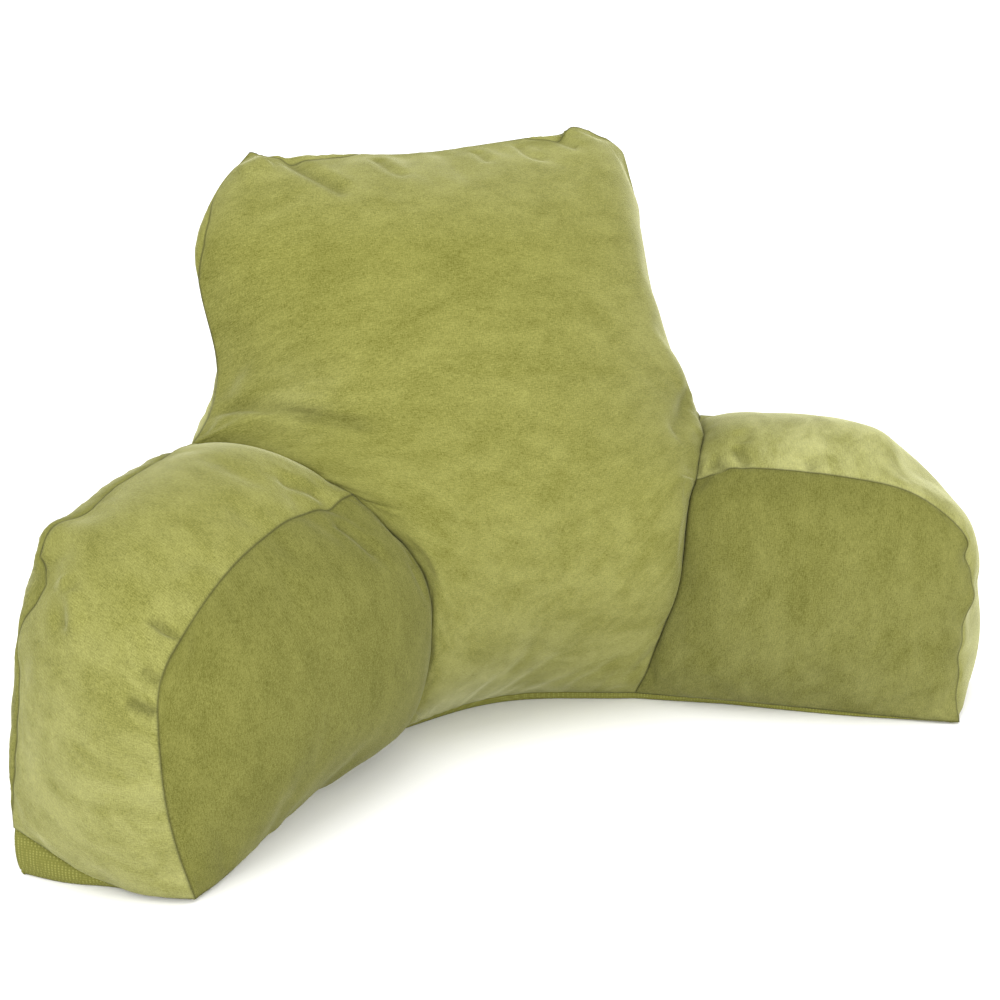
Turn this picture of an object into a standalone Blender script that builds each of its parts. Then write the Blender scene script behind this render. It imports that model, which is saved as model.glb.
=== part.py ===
"""Reading pillow with arms: a stuffed backrest with a stuffed arm sewn to each side, on a shared base panel.

Metres, +Z up. The pillow stands on z = 0 under its own middle, and the reader leans on it facing -Y.
Each stuffed chamber is a closed cage of panels. A panel hangs between its four seams, as the cut cloth does,
crowns between them and is pressed in at its folds. The seams stay creased when the cage is subdivided.
"""

from math import cos, exp, radians, sin

import bmesh
import bpy
from mathutils import Vector

# Driving dimensions, in metres. The seams below are measured from the middle of the front bottom seam.
FRONT_TO_CENTRE = 0.027          # from that seam forward to the middle of the whole pillow
ARM_SWING = radians(40.2)        # how far each arm swings forward from straight sideways
ARM_ROOT = (0.107, -0.036)       # floor point where an arm's inner seam plane starts, as x from the middle, y
ARM_THICKNESS = 0.125            # between the inner and the outer seam of an arm
SEAM_LIFT = 0.006                # the bottom seam runs this high above the floor
TOE = 0.004                      # the filling pushes an arm's inner bottom corner this far out
BASE_THICKNESS = 0.002
GAP = 0.0003                     # between two neighbouring solids
CROWN = {"inner": 0.024, "strip": 0.015, "outer": 0.016}   # how far each panel of an arm bulges
ROUNDING = 0.065                 # a panel reaches its full crown this far from its seams
FULLNESS = 0.5                   # 0.5 rounds the backrest's panels like half an ellipse, 1 like a parabola
SHOULDER_SOFTNESS = 0.12         # share of the front panel's height over which it runs flat onto the arm's root
SUBDIVISIONS = 1

# Where the cage has its lines, as shares of the way across, along or up.
ACROSS_BACKREST = (0, 0.04, 0.12, 0.22, 0.32, 0.41, 0.5, 0.59, 0.68, 0.78, 0.88, 0.96, 1)
UP_SIDE = (0, 0.1, 0.22, 0.36, 0.52, 0.68, 0.84, 0.95, 1)
UP_ARM = (0, 0.1, 0.3, 0.55, 0.8, 1)
ACROSS_ARM = (0, 0.14, 0.32, 0.5, 0.68, 0.86, 1)
ACROSS_FLOOR = (0, 0.05, 0.28, 0.5, 0.72, 0.95, 1)
ALONG_ARM = (0, 0.1, 0.28, 0.46, 0.64, 0.82, 1)

GREEN = (0.34, 0.34, 0.085, 1.0)
BASE_GREEN = (0.22, 0.22, 0.05, 1.0)

# The seams of the backrest, as x from the middle plane, y and z. One side is stuffed a little fuller.
SEAMS = {
    "left": {
        # between the front panel and the arm, from the floor to the top of the arm's inner face
        "front": [(0.092, -0.030, SEAM_LIFT), (0.091, -0.066, 0.045), (0.089, -0.092, 0.100),
                  (0.099, -0.096, 0.155), (0.141, -0.068, 0.212)],
        # over the root of the arm, from the front to the shoulder
        "shoulder": [(0.141, -0.068, 0.212), (0.186, -0.034, 0.237), (0.232, 0.018, 0.243)],
        # between the front and the back panel, from the shoulder to the top corner
        "side": [(0.232, 0.018, 0.243), (0.209, 0.036, 0.262), (0.197, 0.048, 0.287), (0.196, 0.060, 0.320),
                 (0.205, 0.078, 0.375), (0.195, 0.088, 0.410), (0.155, 0.095, 0.447)],
        # up the back, from the floor to the shoulder
        "back": [(0.215, 0.050, SEAM_LIFT), (0.234, 0.040, 0.120), (0.232, 0.018, 0.243)],
    },
    "right": {
        "front": [(0.122, -0.055, SEAM_LIFT), (0.120, -0.072, 0.045), (0.122, -0.090, 0.100),
                  (0.130, -0.094, 0.155), (0.158, -0.074, 0.203)],
        "shoulder": [(0.158, -0.074, 0.203), (0.196, -0.030, 0.221), (0.232, 0.024, 0.224)],
        "side": [(0.232, 0.024, 0.224), (0.212, 0.034, 0.240), (0.203, 0.046, 0.272), (0.192, 0.060, 0.320),
                 (0.199, 0.078, 0.375), (0.200, 0.088, 0.425), (0.172, 0.095, 0.458)],
        "back": [(0.215, 0.050, SEAM_LIFT), (0.236, 0.042, 0.120), (0.232, 0.024, 0.224)],
    },
}
TOP_SEAM = [(-0.155, 0.095, 0.447), (-0.120, 0.095, 0.449), (0.0, 0.095, 0.446), (0.100, 0.095, 0.456),
            (0.138, 0.095, 0.469), (0.172, 0.095, 0.458)]
FRONT_FLOOR = [(0.0, -0.009, SEAM_LIFT), (0.048, -0.017, SEAM_LIFT)]    # from the middle towards each side
BACK_FLOOR = [(0.0, 0.168, SEAM_LIFT), (0.115, 0.135, SEAM_LIFT)]

# The line down the middle of the front and of the back panel, as y and z from the floor up.
FRONT_MIDDLE = [(-0.009, SEAM_LIFT), (-0.046, 0.035), (-0.088, 0.090), (-0.106, 0.150), (-0.092, 0.220),
                (-0.060, 0.285), (-0.028, 0.350), (0.012, 0.405), (0.048, 0.434), (0.095, 0.446)]
BACK_MIDDLE = [(0.168, SEAM_LIFT), (0.186, 0.080), (0.184, 0.190), (0.172, 0.300), (0.155, 0.385), (0.132, 0.429),
               (0.095, 0.446)]

# The seams of an arm in its own seam plane: how far along it from its root, and how high.
ARM_SEAMS = {
    "left": {
        "inner_top": [(0.110, 0.213), (0.178, 0.212), (0.240, 0.196), (0.290, 0.166)],
        "inner_end": [(0.279, SEAM_LIFT), (0.302, 0.060), (0.310, 0.120), (0.290, 0.166)],
        "outer_top": [(0.120, 0.241), (0.198, 0.233), (0.257, 0.210)],
        "outer_end": [(0.291, SEAM_LIFT), (0.291, 0.080), (0.278, 0.150), (0.257, 0.210)],
    },
    "right": {
        "inner_top": [(0.110, 0.204), (0.170, 0.201), (0.235, 0.187), (0.284, 0.155)],
        "inner_end": [(0.280, SEAM_LIFT), (0.286, 0.060), (0.290, 0.110), (0.284, 0.155)],
        "outer_top": [(0.120, 0.222), (0.180, 0.212), (0.232, 0.180)],
        "outer_end": [(0.291, SEAM_LIFT), (0.286, 0.070), (0.262, 0.130), (0.232, 0.180)],
    },
}

# Folds: a soft trough between two points, as deep and half as wide as given.
FOLDS = [
    # chamber, from (x, y, z), to (x, y, z), depth, half width
    ("backrest", (-0.205, 0.015, 0.274), (-0.115, -0.050, 0.262), 0.016, 0.020),
    ("backrest", (0.190, -0.010, 0.252), (0.150, -0.055, 0.226), 0.008, 0.020),
]


def curve_through(points, shares):
    """Points along a smooth curve through the given ones, at the given shares of its length."""
    points = [Vector(p) for p in points]
    ends = [points[0] * 2 - points[1], *points, points[-1] * 2 - points[-2]]
    fine = []
    for a, b, c, d in zip(ends, ends[1:], ends[2:], ends[3:]):
        for k in range(16):
            t = k / 16
            turn = (2 * a - 5 * b + 4 * c - d) * t * t + (3 * b - a - 3 * c + d) * t**3
            fine.append(0.5 * (2 * b + (c - a) * t + turn))
    fine.append(points[-1])
    along = [0.0]
    for a, b in zip(fine, fine[1:]):
        along.append(along[-1] + (b - a).length)
    found = []
    for share in shares:
        want = share * along[-1]
        k = max(i for i in range(len(fine) - 1) if along[i] <= want + 1e-12)
        part = (want - along[k]) / max(along[k + 1] - along[k], 1e-12)
        found.append(fine[k].lerp(fine[k + 1], min(part, 1.0)))
    return found


def spacing(first, second):
    """How far along a pair of lines each pair of points lies, as a share of the whole."""
    shares = [0.0]
    for k in range(1, len(first)):
        shares.append(shares[-1] + (first[k] - first[k - 1]).length + (second[k] - second[k - 1]).length)
    return [s / shares[-1] for s in shares]


def hung(bottom, top, left, right):
    """A grid of points between four seams, as unstuffed cloth hangs between them."""
    rows = []
    for v, start, end in zip(spacing(left, right), left, right):
        row = []
        for u, low, high in zip(spacing(bottom, top), bottom, top):
            corners = bottom[0].lerp(bottom[-1], u).lerp(top[0].lerp(top[-1], u), v)
            row.append(start.lerp(end, u) + low.lerp(high, v) - corners)
        rows.append(row)
    return rows


def filled_to(rows, middle, flat_at=None):
    """A grid bulged out so that it passes through its middle line. Its sides rise softly near the flat row."""
    up = spacing([row[0] for row in rows], [row[-1] for row in rows])
    targets = curve_through(middle, up)
    for j in range(1, len(rows) - 1):
        row = rows[j]
        across = spacing(row, row)
        push = targets[j] - row[len(row) // 2]
        soft = 0.0 if flat_at is None else exp(-((up[j] - up[flat_at]) / SHOULDER_SOFTNESS) ** 2)
        for i, u in enumerate(across):
            row[i] = row[i] + push * (4 * u * (1 - u)) ** (FULLNESS + soft * (1 - FULLNESS))
    return rows


def pushed(rows, inside, amount):
    """A grid with each point within its seams pushed out, away from the inside point, by amount(point)."""
    made = [list(row) for row in rows]
    for j in range(1, len(rows) - 1):
        for i in range(1, len(rows[0]) - 1):
            normal = (rows[j][i + 1] - rows[j][i - 1]).cross(rows[j + 1][i] - rows[j - 1][i]).normalized()
            side = 1 if normal.dot(rows[j][i] - inside) > 0 else -1
            made[j][i] = rows[j][i] + normal * side * amount(rows[j][i])
    return made


def nearest_on(point, start, end):
    """The point nearest to the given one on the straight line between two ends."""
    share = (point - start).dot(end - start) / (end - start).length_squared
    return start.lerp(end, min(max(share, 0.0), 1.0))


def crowned(rows, inside, crown, seams):
    """A grid rounded up from the given seams, and level where it has its full crown."""
    def rise(point):
        near = min((point - nearest_on(point, a, b)).length for line in seams for a, b in zip(line, line[1:]))
        return crown * (1 - (1 - min(near / ROUNDING, 1.0)) ** 2)
    return pushed(rows, inside, rise)


def folded(rows, inside, chamber):
    """A grid pressed in along each fold of its chamber."""
    def depth(point):
        total = 0.0
        for fold_chamber, start, end, deep, half_width in FOLDS:
            if fold_chamber == chamber:
                away = (point - nearest_on(point, Vector(start), Vector(end))).length
                total -= deep * exp(-(away / half_width) ** 2)
        return total
    return pushed(rows, inside, depth)


def joined(*lines):
    """Lines of points end to end, as one."""
    whole = list(lines[0])
    for line in lines[1:]:
        whole += line[1:]
    return whole


def underside(front, back, near, far, height, far_is_sewn=False):
    """The bottom of a chamber. It drops straight down from its bottom seams, and is flat at the given height."""
    rows = hung(front, back, near, far)
    last_row, last = len(rows) - 1, len(front) - 1
    rim = {1: 0, last_row - 1: last_row}
    end = {last - 1: last} if far_is_sewn else {}
    flat = [[rows[rim.get(j, j)][end.get(i, i)] for i in range(last + 1)] for j in range(last_row + 1)]
    for j in range(1, last_row):
        for i in range(1, last):
            rows[j][i] = Vector((flat[j][i].x, flat[j][i].y, height))
    return rows


class Side:
    """The seams of one side of the pillow. Its sign is 1 for the right arm, at +X, and -1 for the left."""

    def __init__(self, name, sign):
        self.name, self.sign = name, sign
        self.along = Vector((sign * cos(ARM_SWING), -sin(ARM_SWING), 0.0))
        self.out = Vector((sign * sin(ARM_SWING), cos(ARM_SWING), 0.0))
        self.front = self.seam("front", UP_ARM)
        self.shoulder = self.seam("shoulder", ACROSS_ARM)
        self.side = self.seam("side", UP_SIDE)
        self.back = self.seam("back", UP_ARM)

    def mirrored(self, point):
        return Vector((self.sign * point[0], point[1], point[2]))

    def seam(self, name, shares):
        return curve_through([self.mirrored(point) for point in SEAMS[self.name][name]], shares)

    def floor(self, height):
        """Across the chamber's end where it meets its neighbour, at the given height between the seams."""
        line = curve_through([self.front[0], self.back[0]], ACROSS_FLOOR)
        return [line[0], *[Vector((point.x, point.y, height)) for point in line[1:-1]], line[-1]]

    def wall(self, height):
        """The face where the backrest and the arm press on each other."""
        return hung(self.floor(height), self.shoulder, self.front, self.back)

    def arm_seam(self, name, out, shares, root=None):
        """A seam of the arm in the plane that lies so far out from its inner seam plane."""
        base = self.mirrored((*ARM_ROOT, 0.0)) + self.out * out
        points = [base + self.along * s + Vector((0, 0, z)) for s, z in ARM_SEAMS[self.name][name]]
        if name == "inner_end":
            points[0] += (self.along - self.out) * TOE
        return curve_through(([root] if root else []) + points, shares)

    def arm_ends(self):
        """The arm's seams that close it at its end: the inner, the outer and the bottom one."""
        inner_end = self.arm_seam("inner_end", 0.0, UP_ARM)
        outer_end = self.arm_seam("outer_end", ARM_THICKNESS, UP_ARM)
        return inner_end, outer_end, curve_through([inner_end[0], outer_end[0]], ACROSS_ARM)

    def arm_base(self, height, gap=0.0):
        """The underside of the arm, which starts the given gap away from the backrest."""
        inner_end, outer_end, end_floor = self.arm_ends()
        root = [point + self.along * gap for point in self.floor(height)]
        inner_floor = curve_through([root[0], inner_end[0]], ALONG_ARM)
        outer_floor = curve_through([root[-1], outer_end[0]], ALONG_ARM)
        return underside(inner_floor, outer_floor, root, end_floor, height, far_is_sewn=True)

    def arm_panels(self, height):
        front, back, shoulder = ([point + self.along * GAP for point in line]
                                 for line in (self.front, self.back, self.shoulder))
        inner_end, outer_end, end_floor = self.arm_ends()
        inner_top = self.arm_seam("inner_top", 0.0, ALONG_ARM, shoulder[0])
        outer_top = self.arm_seam("outer_top", ARM_THICKNESS, ALONG_ARM, shoulder[-1])
        base = self.arm_base(height, GAP)
        inner_floor, outer_floor = base[0], base[-1]
        inside = (inner_floor[2] + outer_floor[2] + inner_top[2] + outer_top[2]) / 4
        inner_edge, outer_edge = joined(inner_top, inner_end[::-1]), joined(outer_top, outer_end[::-1])
        cloths = [
            # name, the four seams, and those that the crown rises from
            ("inner", (inner_floor, inner_top, front, inner_end), (0, 1, 2, 3)),
            ("outer", (outer_floor, outer_top, back, outer_end), (0, 1, 2, 3)),
            ("strip", (end_floor, shoulder, inner_edge[::-1], outer_edge[::-1]), (0, 2, 3)),
        ]
        made = []
        for name, seams, rising in cloths:
            rows = crowned(hung(*seams), inside, CROWN[name], [seams[k] for k in rising])
            made.append(folded(rows, inside, "arm_" + self.name))
        sharp = [base, [[point + self.along * GAP for point in row] for row in self.wall(height)]]
        return made + sharp, [made[2], *sharp]


def bottom_seams(left, right):
    """The front and the back bottom seam of the backrest, from the left side to the right."""
    lines = []
    for middle, name in ((FRONT_FLOOR, "front"), (BACK_FLOOR, "back")):
        points = [left.mirrored(SEAMS["left"][name][0])]
        points += [left.mirrored(point) for point in middle[:0:-1]] + list(middle)
        points.append(right.mirrored(SEAMS["right"][name][0]))
        lines.append(curve_through(points, ACROSS_BACKREST))
    return lines


def backrest_base(left, right, height):
    return underside(*bottom_seams(left, right), left.floor(height), right.floor(height), height)


def backrest_panels(left, right, height):
    front_floor, back_floor = bottom_seams(left, right)
    top = curve_through(TOP_SEAM, ACROSS_BACKREST)
    inside = Vector((0.0, 0.05, 0.2))
    fronts = [joined(side.front, side.shoulder, side.side) for side in (left, right)]
    backs = [joined(side.back, side.side) for side in (left, right)]
    shoulder_row = len(UP_ARM) + len(ACROSS_ARM) // 2 - 1
    front = filled_to(hung(front_floor, top, *fronts), [(0.0, *point) for point in FRONT_MIDDLE], shoulder_row)
    back = filled_to(hung(back_floor, top, *backs), [(0.0, *point) for point in BACK_MIDDLE])
    flat = [backrest_base(left, right, height), left.wall(height), right.wall(height)]
    return [folded(front, inside, "backrest"), back, *flat], flat


def sewn(name, panels, sharp, material):
    """An object made of panels. Where two meet is a creased seam, which turns sharply at corners of the sharp ones."""
    cage = bmesh.new()
    which = cage.faces.layers.int.new("panel")
    for number, rows in enumerate(panels):
        grid = [[cage.verts.new(point) for point in row] for row in rows]
        for low, high in zip(grid, grid[1:]):
            for a, b, c, d in zip(low, low[1:], high[1:], high):
                cage.faces.new((a, b, c, d))[which] = number
    bmesh.ops.remove_doubles(cage, verts=cage.verts, dist=1e-5)
    bmesh.ops.recalc_face_normals(cage, faces=cage.faces)
    edge_crease = cage.edges.layers.float.new("crease_edge")
    for edge in cage.edges:
        edge[edge_crease] = float(len({face[which] for face in edge.link_faces}) > 1 or edge.is_boundary)
    point_crease = cage.verts.layers.float.new("crease_vert")
    corners = [row[i] for rows in sharp for row in (rows[0], rows[-1]) for i in (0, -1)]
    for vert in cage.verts:
        vert[point_crease] = float(min((vert.co - corner).length for corner in corners) < 1e-5)
    mesh = bpy.data.meshes.new(name)
    cage.to_mesh(mesh)
    cage.free()
    mesh.materials.append(material)
    mesh.shade_smooth()
    made = bpy.data.objects.new(name, mesh)
    made.parent = centre
    parts.objects.link(made)
    rounding = made.modifiers.new("rounding", "SUBSURF")
    rounding.levels = rounding.render_levels = SUBDIVISIONS
    return made


def base_panel(left, right, height, material):
    """The cloth under the pillow: flat on the floor, and turned up round the chambers to the bottom seam."""
    sheets = [backrest_base(left, right, height), left.arm_base(height), right.arm_base(height)]
    made = sewn("base_panel", sheets, sheets, material)
    if made.data.polygons[0].normal.z < 0:
        made.data.flip_normals()
    thickness = made.modifiers.new("thickness", "SOLIDIFY")
    thickness.thickness = BASE_THICKNESS
    thickness.offset = -1.0 - 2.0 * GAP / BASE_THICKNESS
    return made


def cloth(name, colour):
    material = bpy.data.materials.new(name)
    material.use_nodes = True
    shader = material.node_tree.nodes["Principled BSDF"]
    shader.inputs["Base Color"].default_value = colour
    shader.inputs["Roughness"].default_value = 0.9
    return material


for old in list(bpy.data.objects):
    bpy.data.objects.remove(old, do_unlink=True)
parts = bpy.data.collections.new("reading_pillow")
bpy.context.scene.collection.children.link(parts)
centre = bpy.data.objects.new("centre", None)
centre.location.y = FRONT_TO_CENTRE
parts.objects.link(centre)
left, right = Side("left", -1), Side("right", 1)
velvet = cloth("velvet", GREEN)
chamber_floor = BASE_THICKNESS + GAP
sewn("backrest", *backrest_panels(left, right, chamber_floor), velvet)
sewn("arm_left", *left.arm_panels(chamber_floor), velvet)
sewn("arm_right", *right.arm_panels(chamber_floor), velvet)
base_panel(left, right, chamber_floor, cloth("base_cloth", BASE_GREEN))
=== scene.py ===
"""The looks of the reading pillow: three stuffed velvet chambers and the coarser base panel under them.

Metres where nothing else is said, +Z up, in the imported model's frame. A chamber's panels hang between their
seams on the same cage as its solid. A cloth simulation fills them out. Then the seams are rolled over the
form and get their lips, and the folds, the puckers and the lumps are pressed in.
"""

from math import cos, exp, radians, sin

import bmesh
import bpy
import numpy as np
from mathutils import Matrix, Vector, kdtree, noise


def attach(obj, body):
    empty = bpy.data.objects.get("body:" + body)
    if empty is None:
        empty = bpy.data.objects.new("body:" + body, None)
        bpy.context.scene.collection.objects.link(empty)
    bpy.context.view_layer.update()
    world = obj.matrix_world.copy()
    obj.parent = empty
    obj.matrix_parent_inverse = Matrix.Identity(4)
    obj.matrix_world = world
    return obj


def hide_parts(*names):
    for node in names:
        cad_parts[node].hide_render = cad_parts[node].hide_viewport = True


# Driving dimensions of the cage. Its seams are measured from a point on the floor in the middle plane, 9 mm
# behind the front bottom seam.
FRONT_TO_CENTRE = 0.027          # from that point forward to the middle of the whole pillow
ARM_SWING = radians(40.2)        # how far each arm swings forward from straight sideways
ARM_ROOT = (0.107, -0.036)       # floor point where an arm's inner seam plane starts, as x from the middle, y
ARM_THICKNESS = 0.125            # between the inner and the outer seam of an arm
SEAM_LIFT = 0.006                # the bottom seam runs this high above the floor
TOE = 0.004                      # the filling pushes an arm's inner bottom corner this far out
GAP = 0.0003                     # between two neighbouring pieces
CROWN = {"inner": 0.024, "strip": 0.015, "outer": 0.016}   # how far each panel of an arm bulges
ROUNDING = 0.065                 # a panel reaches its full crown this far from its seams
FULLNESS = 0.5                   # 0.5 rounds the backrest's panels like half an ellipse, 1 like a parabola
SHOULDER_SOFTNESS = 0.12         # share of its height over which the front panel runs flat onto an arm's root
BEFORE_CORNER = 0.72             # share of an arm's outer bottom seam, from its root, that stays low

CENTRED = np.array((0.0, FRONT_TO_CENTRE, 0.0))      # from the cage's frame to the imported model's

# Where the cage has its lines, as shares of the way across, along or up.
ACROSS_BACKREST = (0, 0.04, 0.12, 0.22, 0.32, 0.41, 0.5, 0.59, 0.68, 0.78, 0.88, 0.96, 1)
UP_SIDE = (0, 0.1, 0.22, 0.36, 0.52, 0.68, 0.84, 0.95, 1)
UP_ARM = (0, 0.1, 0.3, 0.55, 0.8, 1)
ACROSS_ARM = (0, 0.14, 0.32, 0.5, 0.68, 0.86, 1)
ALONG_ARM = (0, 0.1, 0.28, 0.46, 0.64, 0.82, 1)
DOWN_ARM = tuple(1 - share for share in reversed(UP_ARM))

# How many cells the cloth has along each of those lines, and how much finer they are at its ends
CELLS = {ACROSS_BACKREST: 72, UP_SIDE: 34, UP_ARM: 32, DOWN_ARM: 32, ACROSS_ARM: 24, ALONG_ARM: 44}
END_GRADING = 0.55
CURVE_STEPS = 16                 # between two points of a curve

# The seams of the backrest, as x from the middle plane, y and z.
SEAMS = {
    "left": {
        "front": [(0.092, -0.030, SEAM_LIFT), (0.091, -0.066, 0.045), (0.089, -0.092, 0.100),
                  (0.099, -0.096, 0.155), (0.141, -0.068, 0.212)],
        "shoulder": [(0.141, -0.068, 0.212), (0.186, -0.034, 0.237), (0.232, 0.018, 0.243)],
        "side": [(0.232, 0.018, 0.243), (0.209, 0.036, 0.262), (0.197, 0.048, 0.287), (0.196, 0.060, 0.320),
                 (0.205, 0.078, 0.375), (0.195, 0.088, 0.410), (0.155, 0.095, 0.447)],
        "back": [(0.215, 0.050, SEAM_LIFT), (0.234, 0.040, 0.120), (0.232, 0.018, 0.243)],
    },
    "right": {
        "front": [(0.122, -0.055, SEAM_LIFT), (0.120, -0.072, 0.045), (0.122, -0.090, 0.100),
                  (0.130, -0.094, 0.155), (0.158, -0.074, 0.203)],
        "shoulder": [(0.158, -0.074, 0.203), (0.196, -0.030, 0.221), (0.232, 0.024, 0.224)],
        "side": [(0.232, 0.024, 0.224), (0.212, 0.034, 0.240), (0.203, 0.046, 0.272), (0.192, 0.060, 0.320),
                 (0.199, 0.078, 0.375), (0.200, 0.088, 0.425), (0.172, 0.095, 0.458)],
        "back": [(0.215, 0.050, SEAM_LIFT), (0.236, 0.042, 0.120), (0.232, 0.024, 0.224)],
    },
}
TOP_SEAM = [(-0.155, 0.095, 0.447), (-0.120, 0.095, 0.449), (0.0, 0.095, 0.446), (0.100, 0.095, 0.456),
            (0.138, 0.095, 0.469), (0.172, 0.095, 0.458)]
FRONT_FLOOR = [(0.0, -0.009, SEAM_LIFT), (0.048, -0.017, SEAM_LIFT)]    # from the middle towards each side
BACK_FLOOR = [(0.0, 0.168, SEAM_LIFT), (0.115, 0.135, SEAM_LIFT)]

# The line down the middle of the front and of the back panel, as y and z from the floor up.
FRONT_MIDDLE = [(-0.009, SEAM_LIFT), (-0.046, 0.035), (-0.088, 0.090), (-0.106, 0.150), (-0.092, 0.220),
                (-0.060, 0.285), (-0.028, 0.350), (0.012, 0.405), (0.048, 0.434), (0.095, 0.446)]
BACK_MIDDLE = [(0.168, SEAM_LIFT), (0.186, 0.080), (0.184, 0.190), (0.172, 0.300), (0.155, 0.385),
               (0.132, 0.429), (0.095, 0.446)]

# The seams of an arm in its own seam plane: how far along it from its root, and how high.
ARM_SEAMS = {
    "left": {
        "inner_top": [(0.110, 0.213), (0.178, 0.212), (0.240, 0.196), (0.290, 0.166)],
        "inner_end": [(0.279, SEAM_LIFT), (0.302, 0.060), (0.310, 0.120), (0.290, 0.166)],
        "outer_top": [(0.120, 0.241), (0.198, 0.233), (0.257, 0.210)],
        "outer_end": [(0.291, 0.034), (0.291, 0.080), (0.278, 0.150), (0.257, 0.210)],
    },
    "right": {
        "inner_top": [(0.110, 0.204), (0.170, 0.201), (0.235, 0.187), (0.284, 0.155)],
        "inner_end": [(0.280, SEAM_LIFT), (0.286, 0.060), (0.290, 0.110), (0.284, 0.155)],
        "outer_top": [(0.120, 0.222), (0.180, 0.212), (0.232, 0.180)],
        "outer_end": [(0.291, SEAM_LIFT), (0.286, 0.070), (0.262, 0.130), (0.232, 0.180)],
    },
}

# How the cloth of each panel looks
PANELS = {
    # name: (tone, threads run up, how flat its nap is pressed)
    "front": (1.0, False, 0.0),
    "back": (1.08, False, 0.0),
    "inner": (0.80, True, 0.85),
    "strip": (1.05, False, 0.0),
    "outer": (0.95, True, 0.3),
    "underside": (1.0, False, 0.0),
    "wall": (1.0, False, 0.0),
}
HIDDEN_PANELS = ("underside", "wall")

# Stuffing
CLOTH = {
    "quality": 5,
    "mass": 0.3,
    "tension_stiffness": 15,
    "compression_stiffness": 15,
    "shear_stiffness": 5,
    "bending_stiffness": 0.5,
    "use_pressure": True,
    "uniform_pressure_force": 4.0,
    "shrink_min": -0.012,        # a panel is cut larger than its place by this share
}
FILL_FRAMES = 20
MOST_FILL = 0.005                # a point of the cloth may move this far

# Relief of the cloth
SEAM_LIP = 0.0011                # the cloth beside a seam stands this proud of it
SEAM_LIP_WIDTH = 0.0028
WALL_SEAM = 0.45                 # how dark the line is between two chambers, next to the others
SEAM_LINE = 0.0010               # half width of the dark line between two panels
PRESSED_NAP = 0.010              # the nap lies flat this far from a seam
DEEP_FOLD = 0.006                # a fold this deep shuts out the light
FOLD_POINTS = 16                 # along a fold
FOLD_RIM = 0.5                   # how soon the cloth beside a fold rises again
FOLD_TAPER = 7                   # how soon a fold has its full depth
FOLD_ENDS = 0.15                 # share of its depth that a fold has at its ends
LUMP_HEIGHT = 0.0022
LUMP_SIZE = 0.085
LUMP_RISE = 0.03                 # the lumps have their full height this far from a seam
PUCKER_REACH = 0.012
PUCKER_LENGTH = 0.021
PUCKER_GAIN = 2.0                # brings the highest part of a pucker near to its height in PUCKERS
LEAST_SLIDE = 1e-4               # a point that would slide less stays where it is
PUCKERS = {
    # the two panels that a seam joins: height of its puckers
    ("front", "back"): 0.0012,
    ("inner", "strip"): 0.0006,
    ("outer", "strip"): 0.0012,
    ("front", "wall"): 0.0004,
    ("strip", "wall"): 0.0008,
    ("inner", "wall"): 0.0003,
}

# Millimetres in the cage's frame: the folds, and where the cloth or a seam is moved aside
FOLDS = {
    # chamber: points along each fold, its depth (a ridge where negative) and its half width
    "backrest": [
        ([(-215, 30, 262), (-209, 17, 267), (-197, -2, 271), (-167, -35, 268), (-133, -55, 262),
          (-110, -64, 260)], 4.5, 6),
        ([(-200, 23, 286), (-185, -6, 288), (-165, -31, 285), (-140, -47, 278)], -3, 14),
        ([(195, -10, 253), (188, -20, 248), (168, -41, 237), (144, -65, 228)], 4, 12),
        ([(196, -22, 232), (182, -43, 222)], -2, 12),
        ([(-165, 80, 430), (-140, 82, 440)], -7, 14),
        ([(-226, 58, 290), (-236, 52, 258)], -2.2, 14),
        ([(-126, 86, 446), (-118, 65, 439), (-105, 47, 430), (-93, 33, 421)], 5, 9),
        ([(-52, 80, 445), (-48, 56, 438), (-36, 49, 433)], 3, 8),
        ([(39, 82, 447), (40, 59, 439)], 3, 7),
        ([(79, 87, 451), (82, 67, 443), (96, 62, 441)], 3, 7),
        ([(117, 87, 459), (122, 76, 454), (131, 69, 451)], 4, 8),
    ],
    "arm_left": [
        ([(-206, -86, 236), (-197, -87, 231), (-187, -87, 226), (-172, -84, 216)], 3.5, 8),
        ([(-173, -108, 207), (-165, -114, 200), (-157, -118, 193), (-147, -122, 180)], 4.5, 9),
        ([(-370, -152, 204), (-371, -161, 197)], 3, 6),
        ([(-375, -145, 206), (-372, -166, 192), (-374, -176, 172)], -3, 7),
        ([(-382, -158, 184), (-379, -168, 176)], 3, 7),
        ([(-358, -217, 141), (-349, -226, 137), (-342, -232, 135)], 6, 3.8),
        ([(-346, -216, 160), (-338, -226, 153)], 4, 3.8),
        ([(-336, -200, 186), (-326, -210, 179), (-319, -214, 175)], 5, 3.8),
    ],
    "arm_right": [
        ([(168, -74, 208), (170, -90, 202)], 5, 7),
        ([(192, -80, 220), (188, -95, 210), (186, -102, 204)], 5, 6),
        ([(228, -126, 211), (227, -136, 204)], 4, 5),
        ([(205, -68, 231), (197, -84, 221)], 3, 9),
    ],
}
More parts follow.
